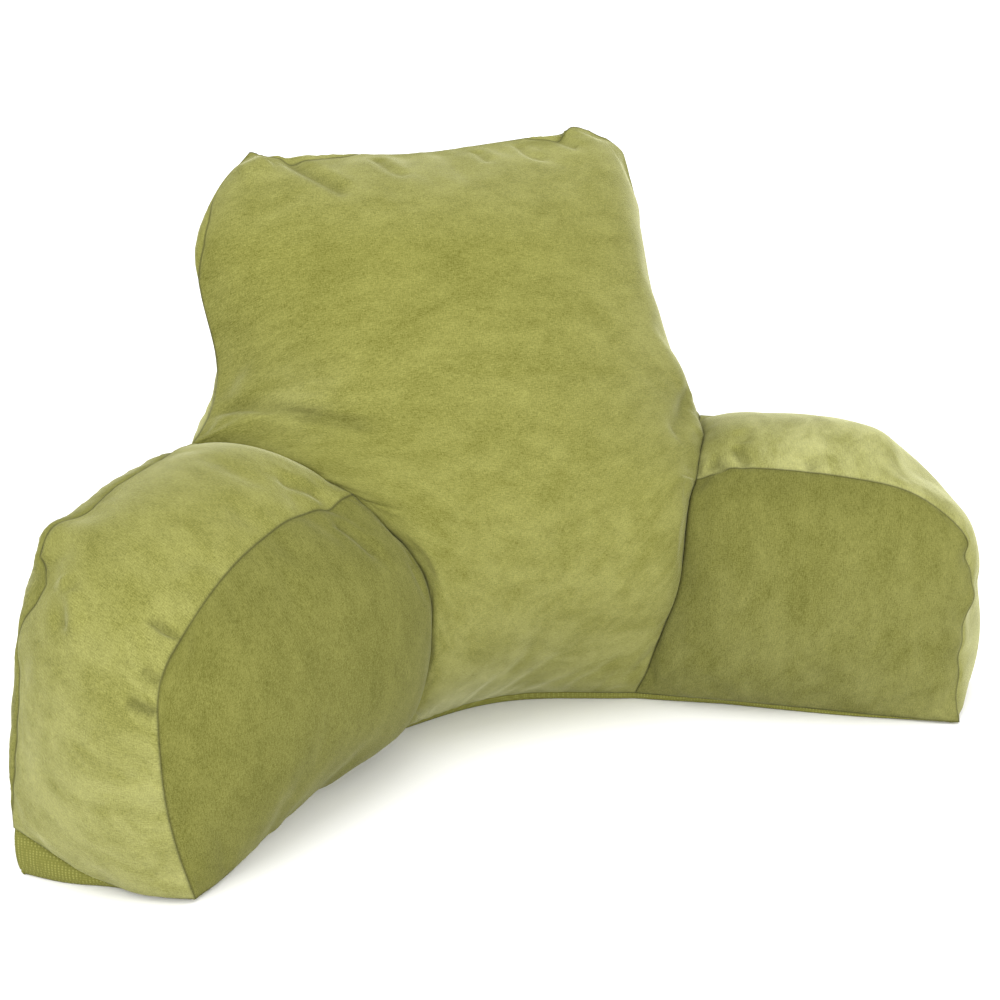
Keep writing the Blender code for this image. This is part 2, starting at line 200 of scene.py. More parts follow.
PULLS = [
    # Where the filling or the sewing draws the cloth aside: place, how far, and within what reach
    ((124, -88, 112), (5.6, -4.7, 0), 50),
    ((122, -55, 6), (-3.5, 3, 0), 16),
    ((158, -74, 203), (0, 0, -11.5), 18),
    ((285, -186, 186), (1.5, -1, 3.5), 35),
    ((222, -45, 236), (0, 0, -7.5), 50),
    ((298, -133, 221), (1.8, 0.5, 6.2), 22),
    ((285, -105, 229), (0, 0, 2.6), 30),
    ((333, -157, 188), (-9, 2.5, -8.8), 31),
    ((348, -203, 118), (3.8, -2, 0), 22),
    ((340, -210, 105), (-7.5, 4, 0), 40),
    ((358, -197, 80), (-7, 3, 0), 30),
    ((352, -205, 40), (-7, 3, 0), 30),
    ((325, -221, 139), (-4.5, 3.8, 0), 8),
    ((327, -222, 106), (4.5, -3.6, 0), 10),
    ((327, -222, 80), (-2.2, 1.8, 0), 8),
    ((326, -221, 58), (-3.5, 2.8, 0), 10),
    ((323, -221, 26), (-4, 3.4, 0), 22),
    ((-106, -90, 150), (6, -1, 0), 32),
    ((-92, -39, 6), (4.5, -1, 0), 16),
    ((250, -165, 0), (0, 0, -2), 70),
    ((325, -225, 0), (0, 0, -3.4), 60),
    ((275, -180, 0), (-1.7, -2, 0), 45),
    ((-325, -215, 0), (0, 0, -3.4), 50),
    ((-169, -90, 213), (0, 0, -4.5), 12),
    ((-215, -127, 213), (0, 0, 2), 25),
    ((-333, -227, 150), (-3, 3.5, 0), 30),
    ((-381, -106, 205), (2.2, -1.2, 0), 18),
    ((-305, -68, 245), (0, 0, -2.2), 60),
    ((-335, -72, 236), (0, 0, -1.8), 28),
    ((-370, -103, 222), (-3.4, 2.6, 5.2), 20),
    ((-389, -118, 190), (2, -1.1, 0), 28),
    ((-406, -132, 115), (0.8, -0.4, 0), 50),
    ((-409, -129, 40), (-0.8, 0.2, 0), 40),
    ((-290, -190, 0), (1.4, -1.6, 0), 35),
    ((-205, -120, 0), (-2.8, 3.4, 0), 50),
    ((30, -12, 0), (0, 4.2, 1.2), 90),
    ((-92, -35, 0), (0, 2.2, 0), 20),
    ((-385, -160, 0), (-1.5, -2.5, 0), 25),
    ((-345, -195, 0), (-1, -2.2, 0), 25),
    ((-318, -218, 0), (0, 2.4, 0), 12),
    ((310, -215, 0), (-0.8, -2.2, 0), 35),
    ((-155, 95, 447), (5.5, 8.5, 2.8), 22),
    ((-180, 88, 425), (4, 0, 1.2), 28),
    ((-136, 97, 447), (0, 0, 1.6), 12),
    ((-110, 95, 448), (0, -5, -1), 28),
    ((60, 90, 452), (0, 0, 3), 60),
    ((116, 95, 460), (0, -5.5, -1.4), 16),
    ((136, 94, 466), (-2, 0, 3.4), 14),
    ((-200, 60, 335), (-3.6, 1.9, 0), 45),
    ((-197, 85, 400), (1.4, -0.7, 0), 22),
    ((182, 92, 447), (3.8, -1, 0), 14),
    ((166, 94, 460), (0, 0, -2.4), 14),
    ((192, 88, 420), (-2.4, 1.2, 0), 25),
    ((165, 30, 366), (2.4, -1.2, 0), 35),
    ((160, 0, 335), (1.4, -0.7, 0), 40),
    ((165, -4, 318), (3.2, -1.7, 0), 20),
    ((172, -16, 284), (4.2, -2.2, 0), 22),
    ((182, -15, 268), (3, -1.6, 0), 28),
    ((210, 12, 240), (-6.2, 3.2, -3), 26),
    ((228, 12, 223.5), (0, 0, -3), 22),
]

SLIDES = {
    # chamber: which way the filling rolls a seam over the form, within what reach, and places along the seam
    # with how far it is rolled at each
    "arm_left": [
        ((0.60, -0.70, 0.38), 26,
         [(-251, 4, 242, 0), (-275, -17, 240, 18), (-299, -35, 238, 21), (-319, -51, 235, 20),
          (-326, -57, 233, 16), (-351, -78, 227, 20), (-362, -88, 223, 14), (-376, -97, 217, 10),
          (-382, -106, 207, 0)]),
        ((0.36, -0.92, 0.17), 26,
         [(-376, -97, 217, 0), (-382, -106, 207, 5), (-383, -110, 199, 15), (-385, -113, 190, 23),
          (-389, -116, 179, 16), (-392, -117, 170, 5), (-396, -119, 156, 0)]),
        ((0.0, -1.0, 0.0), 16,
         [(-397, -119, 156, 0), (-400, -121, 141, 8), (-403, -124, 124, 11), (-406, -126, 107, 9),
          (-409, -128, 77, 6), (-411, -128, 41, 0)]),
    ],
    "backrest": [
        ((0.0, -0.96, -0.28), 16,
         [(-147, 102, 446, 0), (-138, 98, 447, 8), (-124, 92, 448, 12), (-91, 92, 447, 10),
          (-58, 95, 447, 0)]),
        ((0.10, -0.93, -0.36), 16,
         [(91, 94, 457, 0), (112, 90, 459, 10), (129, 92, 464, 8), (140, 94, 466, 5),
          (156, 95, 464, 0)]),
        ((0.14, -0.97, 0.19), 16,
         [(-185, 89, 414, 0), (-195, 86, 402, 8), (-202, 80, 380, 9), (-204, 73, 355, 0)]),
    ],
}

# How much paler each panel is painted, at each of these heights above the floor: painted light and sheen on
# lit tops, on faces seen at a grazing angle and on low parts lit from the floor, partly a paler-lying nap
PAINTED_LIGHT_HEIGHTS = (0.0, 0.10, 0.20, 0.38, 0.45)
PAINTED_LIGHT_AND_NAP = {
    ("backrest", "front"): (0.30, 0.20, 0.08, 0.0, 0.26),
    ("backrest", "back"): (0.15, 0.10, 0.10, 0.10, 0.20),
    ("arm_left", "strip"): (0.40, 0.36, 0.12, 0.0, 0.0),
    ("arm_left", "inner"): (0.0, 0.0, 0.0, 0.0, 0.0),
    ("arm_right", "strip"): (0.25, 0.30, 0.50, 0.50, 0.50),
    ("arm_right", "inner"): (0.24, 0.12, 0.0, 0.0, 0.0),
}
USUAL_PAINTED_LIGHT_AND_NAP = (0.10, 0.10, 0.05, 0.0, 0.0)
# Places painted paler: painted highlights and sheen, with less painted sheen where the amount is negative
PAINTED_LIGHT_PLACES = [
    # chamber, panel, place, reach, how much paler
    ("backrest", "back", (-0.228, 0.055, 0.275), 0.035, 1.1),
    ("backrest", "front", (0.150, -0.020, 0.310), 0.070, 0.14),
    ("backrest", "front", (-0.190, -0.020, 0.250), 0.030, 0.05),
    ("backrest", "front", (-0.165, -0.030, 0.287), 0.028, 0.18),
    ("arm_right", "strip", (0.195, -0.055, 0.228), 0.032, -0.42),
    ("arm_right", "strip", (0.280, -0.110, 0.228), 0.060, 0.35),
]

# Base panel
BASE_CLOTH = 0.001               # thickness
BASE_FLOOR = 0.0007              # height of the middle of the cloth where it lies flat
BASE_ROWS = 8
BASE_BULGE = 0.0018              # how far it stands out between the bottom seam and the floor
BASE_BULGE_RISE = 0.8            # below 1, the bulge lies nearer the seam than the floor
BASE_FALL = 1.5                  # above 1, it falls steeply at the seam and runs out softly on the floor
BASE_INSET = 0.0015              # how far inside the bottom seam its edge is sewn
BASE_SPREAD = 0.0005             # how far outside it the panel meets the floor, where it shows
BASE_TURN = 0.009                # how far under the pillow its edge is turned where it is hidden
LEAST_STEP = 0.0012              # between two points of the bottom seam
BASE_SHOWN = [
    # x and y of a place where it shows, its reach, and how much of its edge stands upright there
    ((0.070, -0.030), 0.130, 0.65),
    ((-0.397, -0.140), 0.045, 1.0),
    ((0.240, -0.155), 0.080, 0.8),
]

# Patterns of the velvet
VELVET_NOISE = {
    # name: (how fine it is in u, and in v, detail, roughness, distortion, its share of the colour)
    "slub": (260.0, 1300.0, 2.0, 0.6, 0.0, 1.3),
    "cross": (1300.0, 300.0, 2.0, 0.6, 0.0, 0.9),
    "flecks": (1100.0, 1100.0, 1.0, 0.5, 0.0, 1.1),
    "nap": (22.0, 34.0, 5.0, 0.62, 0.4, 0.7),
    "brushed": (70.0, 110.0, 3.0, 0.6, 0.3, 0.55),
}
VELVET_HEIGHT = {"slub": 1.0, "cross": 0.8, "flecks": 0.6}         # how high each of them stands
BASE_DOTS = 560.0                # in each metre

# Colours, linear, and how much they are shaded
LIGHT_GREEN = (0.184, 0.182, 0.043, 1.0)
DARK_GREEN = (0.076, 0.076, 0.0070, 1.0)
# the whitish colour that is added where light and sheen are painted on
PAINTED_LIGHT_COLOUR = (0.121, 0.121, 0.076)
SEAM_SHADE = 0.42
# painted shade in the folds: the share of the colour left where a fold is deepest
PAINTED_FOLD_SHADE = 0.75
SHEEN = 0.42
SHEEN_LOST = 0.9                 # share of it that pressed nap loses
BASE_LIGHT = (0.205, 0.205, 0.052, 1.0)
BASE_DARK = (0.120, 0.120, 0.022, 1.0)

# Light: place, what it is aimed at, width, power
LIGHTS = {
    "overhead": ((-0.5, -0.6, 2.2), (0, 0, 0.1), 1.6, 17.0),
    "left_fill": ((-2.2, -1.6, 1.0), (0, 0, 0.2), 1.4, 9.0),
    "front_fill": ((-0.4, -2.4, 0.45), (0, 0, 0.12), 1.6, 49.0),
}
SURROUND = 1.57
FLOOR_REACH = 6.0

# Camera
CAMERA_AZIMUTH, CAMERA_ELEVATION = radians(-28.46), radians(14.0)
CAMERA_LENS = 60.2
CAMERA_DISTANCE = 1.3194
CAMERA_AIM = Vector((0.0, -0.0054, 0.183))


def graded(cells):
    """Shares of the way along a line, closer together at both its ends."""
    even = np.linspace(0.0, 1.0, cells + 1)
    return even - END_GRADING * np.sin(2 * np.pi * even) / (2 * np.pi)


def curve_through(points, shares):
    """Points along a smooth curve through the given ones, at the given shares of its length."""
    p = np.array(points, float)
    p = np.vstack([2 * p[0] - p[1], p, 2 * p[-1] - p[-2]])
    t = np.linspace(0.0, 1.0, CURVE_STEPS, endpoint=False)[:, None]
    fine = []
    for a, b, c, d in zip(p, p[1:], p[2:], p[3:]):
        turn = (2 * a - 5 * b + 4 * c - d) * t * t + (3 * b - a - 3 * c + d) * t**3
        fine.append(0.5 * (2 * b + (c - a) * t + turn))
    fine = np.vstack([*fine, p[-2]])
    along = np.concatenate([[0.0], np.cumsum(np.linalg.norm(np.diff(fine, axis=0), axis=1))])
    places = np.array(shares) * along[-1]
    return np.column_stack([np.interp(places, along, fine[:, k]) for k in range(3)])


def spacing(first, second):
    """How far along a pair of lines each pair of points lies, as a share of the whole."""
    steps = np.linalg.norm(np.diff(first, axis=0), axis=1) + np.linalg.norm(np.diff(second, axis=0), axis=1)
    shares = np.concatenate([[0.0], np.cumsum(steps)])
    return shares / shares[-1]


def hung(bottom, top, left, right):
    """A grid of points between four seams, as unstuffed cloth hangs between them."""
    u = spacing(bottom, top)[None, :, None]
    v = spacing(left, right)[:, None, None]
    between_sides = left[:, None] * (1 - u) + right[:, None] * u
    between_ends = bottom[None] * (1 - v) + top[None] * v
    low = bottom[0] * (1 - u) + bottom[-1] * u
    high = top[0] * (1 - u) + top[-1] * u
    return between_sides + between_ends - low * (1 - v) - high * v


def filled_to(rows, middle, flat_at=None):
    """A grid bulged out to pass through its middle line. Its sides rise softly near the flat row."""
    up = spacing(rows[:, 0], rows[:, -1])
    targets = curve_through(middle, up)
    made = rows.copy()
    for j in range(1, len(rows) - 1):
        across = spacing(rows[j], rows[j])
        soft = 0.0 if flat_at is None else exp(-((up[j] - up[flat_at]) / SHOULDER_SOFTNESS) ** 2)
        share = (4 * across * (1 - across)) ** (FULLNESS + soft * (1 - FULLNESS))
        made[j] += (targets[j] - rows[j][len(across) // 2]) * share[:, None]
    return made


def pushed(rows, inside, amount):
    """A grid with each point within its seams pushed out, away from the inside point, by amount(point)."""
    made = rows.copy()
    normals = np.cross(rows[1:-1, 2:] - rows[1:-1, :-2], rows[2:, 1:-1] - rows[:-2, 1:-1])
    normals /= np.linalg.norm(normals, axis=2, keepdims=True)
    within = rows[1:-1, 1:-1]
    side = np.where(np.sum(normals * (within - inside), axis=2) > 0, 1.0, -1.0)
    rise = amount(within.reshape(-1, 3)).reshape(side.shape)
    made[1:-1, 1:-1] += normals * (side * rise)[..., None]
    return made


def along_line(points, line):
    """Each point's distance from a line, and how far along the line its nearest point is, as a share."""
    line = np.array(line, float)
    steps = np.diff(line, axis=0)
    lengths = np.linalg.norm(steps, axis=1)
    starts = np.concatenate([[0.0], np.cumsum(lengths)])
    best = np.full(len(points), 1e9)
    share = np.zeros(len(points))
    for k, step in enumerate(steps):
        t = np.clip((points - line[k]) @ step / (lengths[k] ** 2 + 1e-18), 0.0, 1.0)
        away = np.linalg.norm(points - line[k] - t[:, None] * step, axis=1)
        nearer = away < best
        best[nearer] = away[nearer]
        share[nearer] = ((starts[k] + t * lengths[k]) / starts[-1])[nearer]
    return best, share


def crowned(rows, inside, crown, seams):
    """A grid rounded up from the given seams, and level where it has its full crown."""
    def rise(points):
        near = np.min([along_line(points, seam)[0] for seam in seams], axis=0)
        return crown * (1 - (1 - np.minimum(near / ROUNDING, 1.0)) ** 2)
    return pushed(rows, inside, rise)


def joined(*lines):
    """Lines of points end to end, as one."""
    return np.vstack([lines[0], *[line[1:] for line in lines[1:]]])


def rounding_weights(cuts):
    """Weights that turn the points of a cage's lines, laid end to end, into those of the smooth cloth."""
    knots = sum(len(cut) - 1 for cut in cuts) + 1
    rows = []
    start = 0
    for number, cut in enumerate(cuts):
        places = np.interp(graded(CELLS[cut]), cut, np.arange(len(cut))) + start
        for place in places[(1 if number else 0):]:
            k = min(int(place), knots - 2)
            t = place - k
            basis = ((1 - t) ** 3 / 6, (3 * t**3 - 6 * t * t + 4) / 6,
                     (-3 * t**3 + 3 * t * t + 3 * t + 1) / 6, t**3 / 6)
            row = np.zeros(knots)
            for index, weight in zip(range(k - 1, k + 3), basis):
                if index < 0:
                    row[0] += 2 * weight
                    row[1] -= weight
                elif index > knots - 1:
                    row[-1] += 2 * weight
                    row[-2] -= weight
                else:
                    row[index] += weight
            rows.append(row)
        start += len(cut) - 1
    return np.array(rows)


def smooth(line, *cuts):
    """The smooth seam on the points of a cage's line."""
    return rounding_weights(cuts) @ line


def fitted(rows, up, across, seams):
    """The smooth cloth on a panel's cage, drawn to its smooth seams: bottom, top, left and right."""
    grid = np.einsum("aj,bi,jik->abk", rounding_weights(up), rounding_weights(across), rows)
    u = spacing(grid[0], grid[-1])[None, :, None]
    v = spacing(grid[:, 0], grid[:, -1])[:, None, None]
    edges = (grid[0], grid[-1], grid[:, 0], grid[:, -1])
    low, high, near, far = (seam - edge for seam, edge in zip(seams, edges))
    ends = (low[0] * (1 - u) + low[-1] * u) * (1 - v) + (high[0] * (1 - u) + high[-1] * u) * v
    return grid + low[None] * (1 - v) + high[None] * v + near[:, None] * (1 - u) + far[:, None] * u - ends


def metres(millimetres):
    return np.array(millimetres) / 1000


def pulled(points):
    """The points, drawn aside by every pull in whose reach they are."""
    moved = np.array(points, float)
    for place, pull, reach in PULLS:
        share = np.exp(-np.sum((points - metres(place)) ** 2, axis=-1) / metres(reach) ** 2)
        moved += share[..., None] * metres(pull)
    return moved


class Side:
    """The seams of one side of the pillow. Its sign is 1 for the right arm, at +X, and -1 for the left."""

    def __init__(self, name, sign):
        self.name, self.sign = name, sign
        self.along = np.array((sign * cos(ARM_SWING), -sin(ARM_SWING), 0.0))
        self.out = np.array((sign * sin(ARM_SWING), cos(ARM_SWING), 0.0))
        self.front = self.seam("front", UP_ARM)
        self.shoulder = self.seam("shoulder", ACROSS_ARM)
        self.side = self.seam("side", UP_SIDE)
        self.back = self.seam("back", UP_ARM)
        self.floor = curve_through([self.front[0], self.back[0]], ACROSS_ARM)

    def mirrored(self, point):
        return np.array((self.sign * point[0], point[1], point[2]))

    def seam(self, name, shares):
        return curve_through([self.mirrored(point) for point in SEAMS[self.name][name]], shares)

    def wall(self, shift=0.0):
        """The face where the backrest and the arm press on each other, shifted along the arm."""
        lines = [line + self.along * shift for line in (self.floor, self.shoulder, self.front, self.back)]
        cuts = (ACROSS_ARM, ACROSS_ARM, UP_ARM, UP_ARM)
        seams = [smooth(line, cut) for line, cut in zip(lines, cuts)]
        return "wall", fitted(hung(*lines), [UP_ARM], [ACROSS_ARM], seams)

    def arm_seam(self, name, out, shares, root=None):
        """A seam of the arm in the plane that lies so far out from its inner seam plane."""
        base = self.mirrored((*ARM_ROOT, 0.0)) + self.out * out
        points = [base + self.along * s + np.array((0, 0, z)) for s, z in ARM_SEAMS[self.name][name]]
        if name == "inner_end":
            points[0] += (self.along - self.out) * TOE
        return curve_through(([root] if root is not None else []) + points, shares)

    def arm_floors(self, shift=0.0):
        """The inner, outer and end seam of the arm's underside. The outer one rises to a lifted corner."""
        inner, outer = (self.arm_seam(name, out, (0.0,))[0]
                        for name, out in (("inner_end", 0.0), ("outer_end", ARM_THICKNESS)))
        inner_root, outer_root = (line[0] + self.along * shift for line in (self.front, self.back))
        low = np.array((1.0, 1.0, 0.0))
        before_corner = outer * BEFORE_CORNER + outer_root * (1 - BEFORE_CORNER)
        before_corner = before_corner * low + (0.0, 0.0, SEAM_LIFT)
        mid_end = (inner * 0.5 + outer * 0.5) * low + (0.0, 0.0, SEAM_LIFT)
        return (curve_through([inner_root, inner], ALONG_ARM),
                curve_through([outer_root, before_corner, outer], ALONG_ARM),
                curve_through([inner, mid_end, outer], ACROSS_ARM))

    def arm_panels(self):
        """The panels of the arm as (name, grid)."""
        root = self.along * GAP
        seams_at_root = (self.front, self.back, self.shoulder, self.floor)
        front, back, shoulder, floor = (line + root for line in seams_at_root)
        inner_end = self.arm_seam("inner_end", 0.0, UP_ARM)
        outer_end = self.arm_seam("outer_end", ARM_THICKNESS, UP_ARM)
        inner_floor, outer_floor, end_floor = self.arm_floors(GAP)
        inner_top = self.arm_seam("inner_top", 0.0, ALONG_ARM, shoulder[0])
        outer_top = self.arm_seam("outer_top", ARM_THICKNESS, ALONG_ARM, shoulder[-1])
        inside = (inner_floor[2] + outer_floor[2] + inner_top[2] + outer_top[2]) / 4
        smooth_root = smooth(shoulder, ACROSS_ARM)
        smooth_end = smooth(end_floor, ACROSS_ARM)
        made = []
        edges, smooth_edges = [], []
        for name, seams, root_seam in (("inner", (inner_floor, inner_top, front, inner_end), front),
                                       ("outer", (outer_floor, outer_top, back, outer_end), back)):
            bottom, top, _, end = seams
            edges.append(joined(top, end[::-1]))
            smooth_edges.append(smooth(edges[-1], ALONG_ARM, DOWN_ARM))
            corner = CELLS[ALONG_ARM]
            smooth_seams = (smooth(bottom, ALONG_ARM), smooth_edges[-1][:corner + 1],
                            smooth(root_seam, UP_ARM), smooth_edges[-1][:corner - 1:-1])
            rows = crowned(hung(*seams), inside, CROWN[name], seams)
            made.append((name, fitted(rows, [UP_ARM], [ALONG_ARM], smooth_seams)))
        rows = crowned(hung(shoulder, end_floor, *edges), inside, CROWN["strip"], [end_floor, *edges])
        smooth_seams = (smooth_root, smooth_end, *smooth_edges)
        made.append(("strip", fitted(rows, [ALONG_ARM, DOWN_ARM], [ACROSS_ARM], smooth_seams)))
        floors = (inner_floor, outer_floor, floor, end_floor)
        smooth_floors = [smooth(line, cut) for line, cut in
                         zip(floors, (ALONG_ARM, ALONG_ARM, ACROSS_ARM, ACROSS_ARM))]
        made.append(("underside", fitted(hung(*floors), [ACROSS_ARM], [ALONG_ARM], smooth_floors)))
        made.append(self.wall(GAP))
        return made


def backrest_floors(left, right):
    """The front and the back bottom seam of the backrest, from the left side to the right."""
    floors = []
    for middle, name in ((FRONT_FLOOR, "front"), (BACK_FLOOR, "back")):
        points = [left.mirrored(SEAMS["left"][name][0])]
        points += [left.mirrored(point) for point in middle[:0:-1]] + list(middle)
        points.append(right.mirrored(SEAMS["right"][name][0]))
        floors.append(curve_through(points, ACROSS_BACKREST))
    return floors


def backrest_panels(left, right):
    """The panels of the backrest as (name, grid)."""
    floors = backrest_floors(left, right)
    top = curve_through(TOP_SEAM, ACROSS_BACKREST)
    smooth_floors = [smooth(line, ACROSS_BACKREST) for line in floors]
    smooth_top = smooth(top, ACROSS_BACKREST)
    fronts = [joined(side.front, side.shoulder, side.side) for side in (left, right)]
    backs = [joined(side.back, side.side) for side in (left, right)]
    smooth_sides = [smooth(side.side, UP_SIDE) for side in (left, right)]
    smooth_fronts = [joined(smooth(side.front, UP_ARM), smooth(side.shoulder, ACROSS_ARM), up)
                     for side, up in zip((left, right), smooth_sides)]
    smooth_backs = [joined(smooth(side.back, UP_ARM), up) for side, up in zip((left, right), smooth_sides)]
    shoulder_row = len(UP_ARM) + len(ACROSS_ARM) // 2 - 1
    front = filled_to(hung(floors[0], top, *fronts), [(0.0, *point) for point in FRONT_MIDDLE], shoulder_row)
    back = filled_to(hung(floors[1], top, *backs), [(0.0, *point) for point in BACK_MIDDLE])
    under = hung(*floors, left.floor, right.floor)
    under_ends = [smooth(side.floor, ACROSS_ARM) for side in (left, right)]
    front_seams = (smooth_floors[0], smooth_top, *smooth_fronts)
    back_seams = (smooth_floors[1], smooth_top, *smooth_backs)
    across = [ACROSS_BACKREST]
    return [
        ("front", fitted(front, [UP_ARM, ACROSS_ARM, UP_SIDE], across, front_seams)),
        ("back", fitted(back, [UP_ARM, UP_SIDE], across, back_seams)),
        ("underside", fitted(under, [ACROSS_ARM], across, (*smooth_floors, *under_ends))),
        left.wall(),
        right.wall(),
    ]


def placed(name, data):
    """A new object in the scene."""
    made = bpy.data.objects.new(name, data)
    bpy.context.scene.collection.objects.link(made)
    return made


def cloth_object(name, cage, material):
    """The object of a finished cage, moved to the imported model's frame."""
    for vert in cage.verts:
        vert.co.y += FRONT_TO_CENTRE
    mesh = bpy.data.meshes.new(name)
    cage.to_mesh(mesh)
    cage.free()
    mesh.materials.append(material)
    mesh.shade_smooth()
    return placed(name, mesh)


def sewn(name, panels, material):
    """A closed piece sewn from panels. Faces know their panel, corners their place on the cut cloth."""
    cage = bmesh.new()
    which = cage.faces.layers.int.new("panel")
    threads = cage.loops.layers.uv.new("threads")
    for number, (panel, grid) in enumerate(panels):
        widths = np.linalg.norm(np.diff(grid, axis=1), axis=2).mean(axis=0)
        heights = np.linalg.norm(np.diff(grid, axis=0), axis=2).mean(axis=1)
        u = np.concatenate([[0.0], np.cumsum(widths)]) + number
        v = np.concatenate([[0.0], np.cumsum(heights)]) + number
        verts = [[cage.verts.new(point) for point in row] for row in pulled(grid)]
        for j in range(len(v) - 1):
            for i in range(len(u) - 1):
                corners = ((j, i), (j, i + 1), (j + 1, i + 1), (j + 1, i))
                face = cage.faces.new([verts[y][x] for y, x in corners])
                face[which] = number
                for loop, (y, x) in zip(face.loops, corners):
                    loop[threads].uv = (v[y], u[x]) if PANELS[panel][1] else (u[x], v[y])
    bmesh.ops.remove_doubles(cage, verts=cage.verts, dist=1e-5)
    bmesh.ops.recalc_face_normals(cage, faces=cage.faces)
    crease = cage.edges.layers.float.new("crease_edge")
    for edge in cage.edges:
        edge[crease] = float(len({face[which] for face in edge.link_faces}) > 1)
    return cloth_object(name, cage, material)


def values_of(items, key, width=3):
    """One row with the named values of each item."""
    flat = np.empty(len(items) * width)
    items.foreach_get(key, flat)
    return flat.reshape(-1, width)


def points_of(mesh):
    return values_of(mesh.vertices, "co")


def set_points(mesh, points):
    mesh.vertices.foreach_set("co", points.ravel())
    mesh.update()


def panel_numbers(mesh):
    """The number of each face's panel."""
    return values_of(mesh.attributes["panel"].data, "value", 1)[:, 0].astype(int)


def panels_at(mesh):
    """The set of panels that meet at each vertex, by number."""
    found = [set() for _ in mesh.vertices]
    for face, number in zip(mesh.polygons, panel_numbers(mesh)):
        for index in face.vertices:
            found[index].add(int(number))
    return found


def stuff(piece, names):
    """Fills the panels out by pressure, while the seams and the hidden panels stay where they are."""
    scene = bpy.context.scene
    mesh = piece.data
    before = points_of(mesh)
    held = [k for k, found in enumerate(panels_at(mesh))
            if len(found) > 1 or names[min(found)] in HIDDEN_PANELS]
    group = piece.vertex_groups.new(name="held")
    group.add(held, 1.0, "REPLACE")
    cloth = piece.modifiers.new("stuffing", "CLOTH")
    settings = cloth.settings
    for key, value in CLOTH.items():
        setattr(settings, key, value)
    settings.vertex_group_mass = "held"
    settings.effector_weights.gravity = 0.0
    cloth.collision_settings.use_collision = False
    cloth.point_cache.frame_end = FILL_FRAMES
    for frame_number in range(1, FILL_FRAMES + 1):
        scene.frame_set(frame_number)
    after = points_of(piece.evaluated_get(bpy.context.evaluated_depsgraph_get()).to_mesh())
    move = after - before
    size = np.linalg.norm(move, axis=1, keepdims=True)
    move *= np.tanh(size / MOST_FILL) * MOST_FILL / np.maximum(size, 1e-9)
    piece.modifiers.remove(cloth)
    piece.vertex_groups.remove(group)
    scene.frame_set(1)
    set_points(mesh, before + move)


def finely(piece):
    """One subdivision that keeps the seams sharp, applied."""
    rounding = piece.modifiers.new("rounding", "SUBSURF")
    rounding.levels = rounding.render_levels = 1
    finer = bpy.data.meshes.new_from_object(piece.evaluated_get(bpy.context.evaluated_depsgraph_get()))
    piece.modifiers.clear()
    coarse = piece.data
    piece.data = finer
    bpy.data.meshes.remove(coarse)
    finer.name = piece.name


def slid(piece, name):
    """Rolls the seams over the stuffed form, which stays as it is."""
    mesh = piece.data
    points = points_of(mesh)
    moved = points.copy()
    for way, reach, places in SLIDES.get(name, ()):
        places = metres(places)
        line = places[:, :3] + CENTRED
        away, share = along_line(points, line)
        roll = np.interp(share, spacing(line, line), places[:, 3])
        moved += (roll * np.exp(-(away / metres(reach)) ** 2))[:, None] * np.array(way)
    for k in np.flatnonzero(np.abs(moved - points).max(axis=1) > LEAST_SLIDE):
        moved[k] = piece.closest_point_on_mesh(Vector(moved[k]))[1]
    set_points(mesh, moved)


